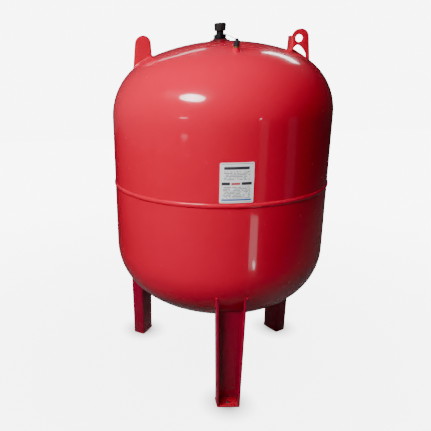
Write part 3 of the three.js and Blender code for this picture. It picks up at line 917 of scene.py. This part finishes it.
def lug_mesh():
    web_top = LUG_TOP - LUG_WEB_DROP
    wall = LUG_HALF - LUG_SHEET
    body = lug_channel(LUG_BASE, web_top)
    for low, high in ((-LUG_HALF, -wall), (wall, LUG_HALF)):
        body = combine(body, "UNION", lug_cheek_top(web_top - 0.6, low, high))
    hole = plug(HOOK_HOLE, -8, 8, 56)
    hole.transform(Matrix.Translation((LUG_R + HOOK_OFFSET, -LUG_HALF + LUG_SHEET / 2, LUG_TOP - HOOK_DROP))
                   @ Matrix.Rotation(math.pi / 2, 4, "X"))
    opening = prism_y(arch_outline(), -LUG_HALF - 3, -wall + 3)
    return combine(body, "DIFFERENCE", hole, opening, dome_tool(0.1, 144))


def make_lug(place, turn, shape):
    bent = moved(bevelled(shape, 0.8), turn=turn)
    piece(f"lug_{place}_bent", bent, "red", f"lifting_lug_{place}", smooth=40)
    inner, outer = lug_edge(LUG_GROUND + 6, 0), lug_edge(LUG_GROUND - 14, 1)
    corners = [(outer, -LUG_HALF), (inner, -LUG_HALF), (inner, LUG_HALF), (outer, LUG_HALF)]
    line = rounded(corners, LUG_BEND, 6, closed=False)
    turned = Matrix.Rotation(turn, 4, "Z")
    whole = resample([Vector((x, y, 0)) for x, y in line], 1.5)
    middle = LUG_R + ARCH_OFFSET
    on_cheek = [p.y < -LUG_HALF + 0.1 for p in whole]
    outer_part = [p for p, cheek in zip(whole, on_cheek) if cheek and p.x > middle + ARCH_HALF + 1]
    rest = [p for p, cheek in zip(whole, on_cheek) if not (cheek and p.x > middle - ARCH_HALF - 1)]
    for label, part in (("short", outer_part), ("long", rest)):
        laid = [turned @ Vector((p.x, p.y, upper_surface(math.hypot(p.x, p.y)) + 0.6)) for p in part]
        weld(f"lug_{place}_{label}_weld", laid, LUG_FILLET)


def make_lugs():
    shape = lug_mesh()
    open_side = prism_y(open_side_outline(), LUG_HALF - LUG_SHEET - 3, LUG_HALF + 3)
    make_lug("left", math.pi, shape)
    make_lug("right", 0.0, combine(shape, "DIFFERENCE", open_side))


# Turned and hexagonal pieces

def thread(radius, depth, pitch, low, high, per_pitch=8):
    """Rows of points for a threaded stretch, and the warp for revolve() that cuts the helix into them."""
    def cut(r, z, angle):
        if abs(r - radius) > 0.02 or not low <= z <= high:
            return r, z
        phase = (z / pitch - angle / TAU) % 1
        fade = min(1, (z - low) / pitch, (high - z) / pitch)
        return r - depth * fade * (1 - abs(2 * phase - 1)), z

    count = round((high - low) / pitch * per_pitch)
    return [(radius, low + (high - low) * i / count) for i in range(count + 1)], cut


def hexagon(across, bottom, top, bore, chamfer_both=True, segments=96):
    """A hexagonal nut or head, chamfered by a cone at its ends, with a bore, or none where bore is 0."""
    corner, face = across / math.sqrt(3), across * 0.475
    fall = (corner - face) * math.tan(math.radians(30))
    steps = 5
    rises = [fall * i / steps for i in range(steps + 1)]
    lower = [bottom + d for d in rises] if chamfer_both else [bottom]
    upper = [top - d for d in rises[::-1]]
    rows = lower + upper

    def shape(radius, height, angle):
        if radius < face * 0.99:
            return radius, height
        flat = (across / 2) / math.cos((angle + math.pi / 6) % (math.pi / 3) - math.pi / 6)
        cone = face + (top - height) / math.tan(math.radians(30))
        if chamfer_both:
            cone = min(cone, face + (height - bottom) / math.tan(math.radians(30)))
        return min(flat, cone), height

    side = [(corner, z) for z in rows]
    if bore:
        ease = 0.7
        inner = [(bore + ease, top), (bore, top - ease), (bore, bottom + ease), (bore + ease, bottom)]
        return revolve(side + inner, segments, shape)
    return revolve([(0, bottom)] + side + [(0, top)], segments, shape)


def make_top_fitting():
    bore = STEM_R + 0.4
    seat = CROWN_Z - SHELL_WALL
    boss = [
        (bore, seat), (TOP_HOLE - GAP, seat), (TOP_HOLE - GAP, upper_surface(TOP_HOLE) + 0.2),
        (BOSS_R, upper_surface(BOSS_R) + 0.2), (BOSS_R - 0.6, CROWN_Z + 1), (BOSS_R - 3.5, CROWN_Z + 2.2),
        (BOSS_R - 5.2, BOSS_TOP - 0.5), (BOSS_R - 5.8, BOSS_TOP), (bore, BOSS_TOP),
    ]
    boss = revolve(rounded(boss, [0, 0, 0, 0.3, 0.8, 1.5, 0.4, 0.4, 0.3], 4))
    # The boss and its weld are dark red: painted shade under the nut and washer.
    piece("top_boss_turned", boss, "painted_shade", "top_boss")
    toe = ring_line(BOSS_R - 0.2, lambda r: upper_surface(r) + 0.7)
    weld("top_boss_weld", toe, 2.0, closed=True, finish="painted_shade")

    washer_low = BOSS_TOP + GAP
    washer_top = washer_low + TOP_WASHER_THICK
    washer = ring_outline(bore, TOP_WASHER_R, washer_low, washer_top)
    piece("top_washer_pressed", revolve(rounded(washer, 0.5, 3)), "dark", "top_washer")
    nut_low = washer_top + GAP
    nut = hexagon(NUT_ACROSS, nut_low, nut_low + NUT_HEIGHT, STEM_R + 0.25)
    piece("top_nut_hex", nut, "dark", "top_nut", smooth=25)

    disc_top = seat - 4.5
    stem_top = CROWN_Z + STEM_RISE
    rows, cut = thread(STEM_R, 1.0, STEM_PITCH, disc_top + 4, stem_top - 1.2)
    disc = ring_outline(STEM_BORE, STEM_DISC_R, disc_top - 4, disc_top)[:3]
    stem = disc + [(STEM_R, disc_top)] + rows
    stem += [(STEM_R - 1.1, stem_top), (STEM_BORE + 0.5, stem_top), (STEM_BORE, stem_top - 0.5)]
    piece("bladder_stem", revolve(stem, 64, cut), "dark", "bladder_holder", smooth=30)

    floor = CROWN_Z + CAP_RISE
    roof = floor + CAP_HEIGHT
    side = [(CAP_RIM + 1.3 * i / 10, floor + 0.8 + (roof - 4.2 - floor) * i / 10) for i in range(11)]
    cup = [(STEM_R + 0.5, floor), (CAP_RIM - 0.6, floor)] + side
    cup += [(14.6, roof - 1.5), (12.8, roof - 0.3), (10.4, roof), (8.6, roof - 0.5), (0, roof - 0.6)]
    cup += [(0, roof - 3.2), (STEM_R + 0.5, roof - 3.2)]

    def grip(radius, height, angle):
        """Grip ribs, which run out towards the roof."""
        if radius < CAP_RIM - 0.01 or height > roof - 1.8:
            return radius, height
        wave = math.cos(CAP_RIBS * angle) * 0.5 + 0.5
        return radius + 0.9 * wave ** 1.6, height

    piece("top_cap_moulded", revolve(cup, 144, grip), "black", "top_cap", body="stem_cap", smooth=35)


def at_valve(mesh):
    return moved(mesh, VALVE_X, VALVE_Y, VALVE_SEAT)


def make_valve_boss():
    bore, half = 5.2, VALVE_BOSS_R
    boss = [(bore, -17), (half, -17), (half, -0.4), (half - 0.4, 0), (bore, 0)]
    boss = at_valve(revolve(rounded(boss, [0, 0, 0.4, 0.4, 0.3], 3), 48))
    piece("valve_boss_turned", combine(boss, "DIFFERENCE", dome_tool(0, SHELL_SEGMENTS)), "red", "valve_boss")
    toe = ring_line(half + 0.2, lambda r: upper_surface(r) + 0.5, 80, VALVE_X, VALVE_Y)
    weld("valve_boss_weld", toe, 1.6, closed=True)


def make_valve():
    """The valve's body, core, needle and spring. Heights count from the boss's top face."""
    stem_end = VALVE_HEX_TOP + VALVE_STEM
    spring_seat = VALVE_HEX_TOP - 6
    poppet = VALVE_HEX_TOP + 2.4
    corner, bore = VALVE_ACROSS / math.sqrt(3), 1.4
    rows, cut = thread(VALVE_STEM_R, 0.42, VALVE_PITCH, VALVE_HEX_TOP + 1.2, stem_end - 0.6, 6)
    outline = [(bore, -22), (4.6, -22), (5, -21.6), (5, 0.1), (corner, GAP), (corner, VALVE_HEX_TOP)]
    outline += [(VALVE_STEM_R, VALVE_HEX_TOP)] + rows
    outline += [(3.6, stem_end), (3.0, stem_end), (2.8, stem_end - 0.2)]
    outline += [(2.8, spring_seat), (bore, spring_seat)]

    def flats(radius, height, angle):
        if radius <= VALVE_ACROSS / 2:
            return cut(radius, height, angle)
        flat = VALVE_ACROSS / 2 / math.cos((angle + math.pi / 6) % (math.pi / 3) - math.pi / 6)
        return min(flat, 7.7), height

    piece("valve_body_turned", at_valve(revolve(outline, 48, flats)), "brass", "valve_body", smooth=25)
    core = rounded(ring_outline(1.1, 2.5, poppet + 0.3, stem_end - 1.5), 0.25, 3)
    piece("valve_core_sleeve", at_valve(revolve(core, 48)), "brass", "valve_core")
    pin = [
        (0, spring_seat - 4), (0.6, spring_seat - 4), (0.8, spring_seat - 3.8), (0.8, poppet - 1.4),
        (2.0, poppet - 1.4), (2.1, poppet - 1.3), (2.1, poppet - 0.1), (2.0, poppet), (0.8, poppet),
        (0.8, stem_end - 0.6), (0.6, stem_end - 0.4), (0, stem_end - 0.4),
    ]
    piece("valve_needle_turned", at_valve(revolve(pin, 32)), "brass", "valve_pin", body="valve_needle")

    low, high = spring_seat + 0.3, poppet - 1.7
    count = SPRING_TURNS * 20
    coil = []
    for i in range(count + 1):
        rise = low + SPRING_WIRE + (high - low - 2 * SPRING_WIRE) * i / count
        coil.append((*polar(SPRING_R, TAU * i / 20), rise))
    coil = at_valve(sweep(coil, SPRING_WIRE, 8))
    spring = piece("valve_spring_coil", coil, "spring", "valve_spring", body=None)
    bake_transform(spring)


def make_valve_cap():
    stem_end = VALVE_HEX_TOP + VALVE_STEM
    bottom = VALVE_HEX_TOP + GAP
    roof = bottom + VALVE_CAP_HEIGHT
    button = VALVE_BUTTON_R
    side = [(VALVE_CAP_R, bottom + 0.5 + (12.6 - 0.5) * i / 8) for i in range(9)]
    cap = [(0, stem_end + 0.6), (4.5, stem_end + 0.6), (4.5, bottom), (VALVE_CAP_R - 0.3, bottom)] + side
    cap += [(VALVE_CAP_R - 0.3, roof - 0.6), (5.6, roof), (2.9, roof)]
    cap += [(button, roof + 0.3), (button, roof + 2.2), (2.8, roof + 2.4), (3.9, roof + 2.4)]
    cap += [(4.2, roof + 2.7), (4.1, roof + 3.5), (3.4, roof + 4.1), (0, roof + 4.2)]

    def flutes(radius, height, angle):
        if abs(radius - VALVE_CAP_R) > 0.01:
            return radius, height
        return radius + 0.4 * (0.5 + 0.5 * math.cos(16 * angle)), height

    cap = at_valve(revolve(cap, 96, flutes))
    piece("valve_cap_moulded", cap, "black", "valve_cap", body="air_cap", smooth=35)


# Lanyard

def lanyard_line():
    """Once round the neck above the nut, across the dome with a little slack, and round the cap's button."""
    neck_z = BOSS_TOP + TOP_WASHER_THICK + NUT_HEIGHT + 5 * GAP + LANYARD_R
    eye_z = VALVE_SEAT + VALVE_HEX_TOP + GAP + VALVE_CAP_HEIGHT + 1.2
    loop = STEM_R + LANYARD_R + 0.6
    stations = []
    for i in range(11):
        reach = loop + (0.4 if i > 8 else 0)
        stations.append(Vector((*polar(reach, math.radians(-355 + 30 * i)), neck_z)))
    start = stations[-1]
    eye_start = Vector((VALVE_X, VALVE_Y + 9, eye_z))
    for share in (0.2, 0.4, 0.6, 0.8):
        point = start.lerp(eye_start, share)
        point.z += LANYARD_RISE * share * (1 - share)
        point.x += LANYARD_BOW * share * (1 - share)
        stations.append(point)
    for i in range(9):
        x, y = polar(VALVE_BUTTON_R + LANYARD_R + 0.4, math.radians(70 - 290 * i / 8))
        stations.append(Vector((VALVE_X + x, VALVE_Y + y, eye_z)))
    return smooth_line(stations, 6)


def make_lanyard():
    line = lanyard_line()
    cord = piece("cap_lanyard_cord", sweep(line, LANYARD_R, 12), "black", "cap_lanyard", body=None, smooth=60)
    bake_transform(cord)


# Bottom opening

def bolt_places():
    return [polar(BOLT_CIRCLE, TAU * (i + 0.5) / BOLT_COUNT) for i in range(BOLT_COUNT)]


def drilled(mesh, radius, low, high):
    drills = [moved(plug(radius, low, high, 24), x, y) for x, y in bolt_places()]
    return combine(mesh, "DIFFERENCE", *drills)


def make_neck_ring():
    neck = BOTTOM_HOLE - GAP
    seat = lower_surface(neck)
    ring = [
        (RING_BORE, RING_FACE), (RING_R, RING_FACE), (RING_R, lower_surface(RING_R) - 0.1),
        (neck, seat - 0.1), (neck, seat + SHELL_WALL), (RING_BORE, seat + SHELL_WALL),
    ]
    ring = drilled(revolve(rounded(ring, [0.5, 0.8, 0, 0, 0, 0.5], 3)), BOLT_R + 0.3, 187, 204)
    piece("neck_ring_turned", ring, "red", "neck_ring")
    toe = ring_line(RING_R + 0.3, lambda r: lower_surface(r) - 0.8, 240)
    weld("neck_ring_weld", toe, 2.8, closed=True)


def make_flange():
    low = FLANGE_TOP - FLANGE_THICK
    plate = ring_outline(SOCKET_R + 0.1, FLANGE_R, low, FLANGE_TOP)
    plate = drilled(revolve(rounded(plate, [0, 1, 1, 0], 3), 144), BOLT_R + 0.6, 170, 195)
    piece("flange_plate_turned", plate, "zinc", "flange_plate")

    rows, cut = thread(SOCKET_BORE, -1.2, SOCKET_PITCH, SOCKET_END + 1.5, FLANGE_TOP - 2)
    outline = [(SOCKET_R - 0.8, SOCKET_END), (SOCKET_R, SOCKET_END + 0.8), (SOCKET_R, FLANGE_TOP)]
    outline += [(SOCKET_BORE, FLANGE_TOP)] + rows[::-1]
    outline += [(SOCKET_BORE + 1.2, SOCKET_END)]
    piece("water_socket_threaded", revolve(outline, 72, cut), "zinc", "water_socket", smooth=30)
    toe = resample(ring_line(SOCKET_R + 0.3, lambda r: low - 0.4, 120), 1.3)[:-1]
    bead = sweep(toe, lambda i: 2.2 * (1 + 0.1 * math.sin(i * 2.6)), 10, closed=True)
    piece("water_socket_weld", bead, "zinc", smooth=70)


def make_bolts():
    washer_top = FLANGE_TOP - FLANGE_THICK - GAP
    washer_low = washer_top - WASHER_THICK
    head_top = washer_low - GAP
    rows, cut = thread(BOLT_R, 0.65, BOLT_PITCH, head_top + 2, BOLT_TIP - 0.6, 6)
    shank_line = [(0, head_top - 0.5), (BOLT_R, head_top - 0.5)] + rows
    shank_line += [(BOLT_R - 0.8, BOLT_TIP), (0, BOLT_TIP)]
    for i, (x, y) in enumerate(bolt_places(), 1):
        head = hexagon(BOLT_ACROSS, head_top - BOLT_HEAD, head_top, 0, segments=72)
        head.transform(Matrix.Translation((0, 0, 2 * head_top - BOLT_HEAD)) @ Matrix.Scale(-1, 4, (0, 0, 1)))
        bolt = combine(head, "UNION", revolve(shank_line, 32, cut))
        bolt = moved(bolt, x, y, turn=math.radians(37 * i))
        piece(f"flange_bolt_{i}_hex", bolt, "zinc", f"flange_bolt_{i}", smooth=28)
        washer = revolve(rounded(ring_outline(BOLT_R + 0.4, WASHER_R, washer_low, washer_top), 0.3, 2), 48)
        piece(f"flange_washer_{i}_flat", moved(washer, x, y), "zinc", f"flange_washer_{i}")


def make_bladder():
    """The rubber bag, part filled, with its clamped lip and collar."""
    wall = BLADDER_WALL
    collar = CROWN_Z - SHELL_WALL - 1.3 - wall / 2
    neck = RING_BORE - 0.7 - wall / 2
    knots = [
        (neck + 2, 224), (95, 240), (190, 292), (248, 400), (262, SEAM_Z), (248, 765), (185, 882), (85, 938),
        (32, collar),
    ]
    bag = [(p.x, p.y) for p in smooth_line([Vector((r, z, 0)) for r, z in knots], 6)]
    bottom = FLANGE_TOP + GAP
    lip = bottom + 3.4
    low_neck = lower_surface(BOTTOM_HOLE) + SHELL_WALL + 2
    middle = [(neck, bottom + 1), (neck, low_neck)] + bag + [(STEM_R + 0.5, collar)]
    sides = []
    for sign in (1, -1):
        line = []
        for i, (r, z) in enumerate(middle):
            before, after = middle[max(i - 1, 0)], middle[min(i + 1, len(middle) - 1)]
            along = Vector((after[0] - before[0], after[1] - before[1])).normalized()
            line.append((r + sign * along.y * wall / 2, z - sign * along.x * wall / 2))
        sides.append(line)
    outside, inside = sides
    outside[0] = (neck + wall / 2, lip)
    outside[1] = (neck + wall / 2, low_neck)
    inside[0] = (neck - wall / 2, bottom)
    outline = [(BLADDER_LIP_R, bottom), (BLADDER_LIP_R, lip)] + outside + inside[::-1]
    piece("bladder_bag", revolve(outline, 128), "rubber", "bladder")


# Label

def make_label():
    """A thin film wrapped on the drum, with rounded corners."""
    columns, rows, fine_rows = 40, 40, 6
    corner = LABEL_CORNER
    inner = SHELL_R + 0.15
    outer = inner + LABEL_THICK
    width = 2 * LABEL_HALF * SHELL_R

    def edge(v):
        """How far the side edge is pulled in at a height, for the rounded corners."""
        near = min(v, LABEL_HEIGHT - v)
        return corner - math.sqrt(max(corner ** 2 - (corner - near) ** 2, 0)) if near < corner else 0.0

    even = [LABEL_HEIGHT * k / rows for k in range(rows + 1)]
    fine = [corner * (1 - math.cos(math.pi / 2 * k / fine_rows)) for k in range(1, fine_rows)]
    straight = [h for h in even if corner <= h <= LABEL_HEIGHT - corner]
    heights = sorted([0.0, *fine, *straight, *[LABEL_HEIGHT - f for f in fine], LABEL_HEIGHT])
    sections = []
    for v in heights:
        half = width / 2 - edge(v)
        line = [half / SHELL_R * (2 * c / columns - 1) - math.pi / 2 for c in range(columns + 1)]
        loop = [(*polar(outer, a), LABEL_LOW + v) for a in line]
        loop += [(*polar(inner, a), LABEL_LOW + v) for a in line[::-1]]
        sections.append(loop)
    piece("rating_label_film", loft(sections), "label", "rating_label", smooth=30)


# Stage, lights and camera

def floor_paper():
    """Paper that looks pale to the camera, with painted shadow, and throws little light up. It can be seen
    through from below.
    """
    g = Graph("floor_paper")
    g.set(
        Base_Color=g.mix(g.span(g.noise(6.0, 4), 0.3, 0.7), rgb(0.12, 0.12, 0.12), rgb(0.11, 0.11, 0.11)),
        Roughness=0.85,
    )
    far = g.node("ShaderNodeVectorMath", {0: g.place}, operation="LENGTH")["Value"]
    # The camera sees the floor glow less towards the vessel: painted shadow under it.
    glow_and_painted_shadow = g.span(far, 0.1, 1.8, 5.5, BACKDROP)
    # Round each foot the glow fades out: a painted contact shadow.
    for azimuth in LEG_AZIMUTHS.values():
        foot = (*polar((LEG_WEB + LEG_DEPTH / 2) * MM, math.radians(azimuth)), 0)
        near = g.node("ShaderNodeVectorMath", {0: g.place, 1: foot}, operation="DISTANCE")["Value"]
        glow_and_painted_shadow = g.math("MULTIPLY", glow_and_painted_shadow, g.span(near, 0.012, 0.085))
    seen = g.node("ShaderNodeLightPath")["Is Camera Ray"]
    g.set(Emission_Color=rgb(1, 1, 1), Emission_Strength=g.math("MULTIPLY", glow_and_painted_shadow, seen))
    below = g.node("ShaderNodeNewGeometry")["Backfacing"]
    clear = g.node("ShaderNodeBsdfTransparent")[0]
    both = g.node("ShaderNodeMixShader", {0: below, 1: g.shader.outputs[0], 2: clear})[0]
    g.put(both, g.tree.nodes["Material Output"].inputs["Surface"])
    return g.made


def make_stage():
    work = bmesh.new()
    bmesh.ops.create_grid(work, x_segments=24, y_segments=24, size=FLOOR_SIZE / 2)
    floor = bpy.data.meshes.new("floor")
    work.to_mesh(floor)
    work.free()
    floor.materials.append(floor_paper())
    placed("floor", floor)


def make_world():
    """A dim surround, brighter from the left than from the right, behind a pale backdrop for the camera."""
    g = Graph("studio", bpy.data.worlds, "Background", "Generated")
    dim = g.span(g.axes()["X"], -0.9, 0.5, 0.14, 0.015)
    seen = g.node("ShaderNodeLightPath")["Is Camera Ray"]
    g.set(Color=rgb(0.93, 0.94, 0.96), Strength=g.node("ShaderNodeMix", {0: seen, 2: dim, 3: BACKDROP})[0])
    bpy.context.scene.world = g.made


def window(
    name, subject, azimuth, elevation, distance, size, power, shape="RECTANGLE", spread=180, glossy=True,
):
    """A soft box seen from the subject in a direction, in degrees from the front towards the right."""
    data = bpy.data.lights.new(name, "AREA")
    data.shape = shape
    data.size, data.size_y = size
    data.energy = power
    data.spread = math.radians(spread)
    across, away = polar(math.cos(math.radians(elevation)), math.radians(azimuth - 90))
    along = Vector((across, away, math.sin(math.radians(elevation))))
    made = placed(name, data)
    made.location = Vector(subject) + along * distance
    made.rotation_mode = "QUATERNION"
    made.rotation_quaternion = (-along).to_track_quat("-Z", "Y")
    made.visible_camera = False
    made.visible_glossy = glossy


def fill(name, subject, azimuth, elevation, side, power, spread):
    """A square soft box that gives light and no reflection."""
    window(name, subject, azimuth, elevation, 3.0, (side, side), power, "RECTANGLE", spread, False)


def make_lights():
    shoulder, flank, crown = (-0.1, -0.27, 0.83), (0.05, -0.29, 0.55), (0.0, 0.0, 0.93)
    window("key", shoulder, -40, 40, 2.4, (1.1, 0.50), 5.0, "ELLIPSE", 44)
    fill("fill", flank, -70, 42, 0.8, 3.8, 34)
    fill("front_fill", flank, -30, 50, 0.8, 0.9, 34)
    fill("back_fill", (0.0, 0.2, 0.55), 172, 38, 1.2, 5.0, 36)
    fill("side_fill", (0.2, 0.05, 0.55), 118, 36, 1.2, 1.6, 36)
    window("strip_low", (0.07, -0.29, 0.36), 29, -15, 1.0, (0.16, 0.28), 0.30)
    window("strip_front", (0.12, -0.27, 0.60), 35, -6, 2.0, (0.30, 0.9), 0.18)
    window("strip_side", (0.20, -0.22, 0.60), 66, -6, 2.0, (0.45, 0.9), 0.18)
    window("glint_high", (-0.12, -0.27, 0.79), -43, 8, 2.5, (0.40, 0.10), 0.9, "ELLIPSE")
    window("glint_middle", (-0.12, -0.28, 0.75), -42, -9, 2.3, (0.30, 0.018), 0.10, "ELLIPSE")
    window("glint_right", (0.05, -0.29, 0.79), 32.5, 3.5, 2.0, (0.06, 0.05), 0.16)
    window("glint_low", (0.05, -0.30, 0.43), 32, -23.5, 0.85, (0.04, 0.03), 0.04, "ELLIPSE")
    window("back_right", crown, 142, 33, 2.6, (0.95, 0.26), 8)
    window("back_left", crown, -172, 33, 2.6, (0.9, 0.08), 1.0)


def make_camera():
    """The photograph's viewing angle. The picture is the right-hand part of a wider view, hence the shift."""
    azimuth, distance, height = math.radians(-8.76), 1.4333, 0.9266
    heading, pitch, roll = math.radians(2.87), math.radians(17.75), math.radians(-2.41)
    data = bpy.data.cameras.new("camera")
    data.sensor_width = 36
    data.lens = 40.79
    data.shift_x = 0.22
    data.clip_end = 60
    made = placed("camera", data)
    place = Matrix.Translation((*polar(distance, azimuth - math.pi / 2), height))
    tilt = Matrix.Rotation(math.pi / 2 - pitch, 4, "X") @ Matrix.Rotation(roll, 4, "Z")
    made.matrix_world = place @ Matrix.Rotation(heading, 4, "Z") @ tilt
    bpy.context.scene.camera = made


make_camera()
make_world()
make_lights()
make_stage()
make_lanyard()
make_shells()
make_waist_weld()
for place, azimuth in LEG_AZIMUTHS.items():
    make_leg(place, azimuth)
    make_foot(place, azimuth)
make_lugs()
make_top_fitting()
make_valve_boss()
make_valve()
make_valve_cap()
make_neck_ring()
make_flange()
make_bolts()
make_bladder()
make_label()
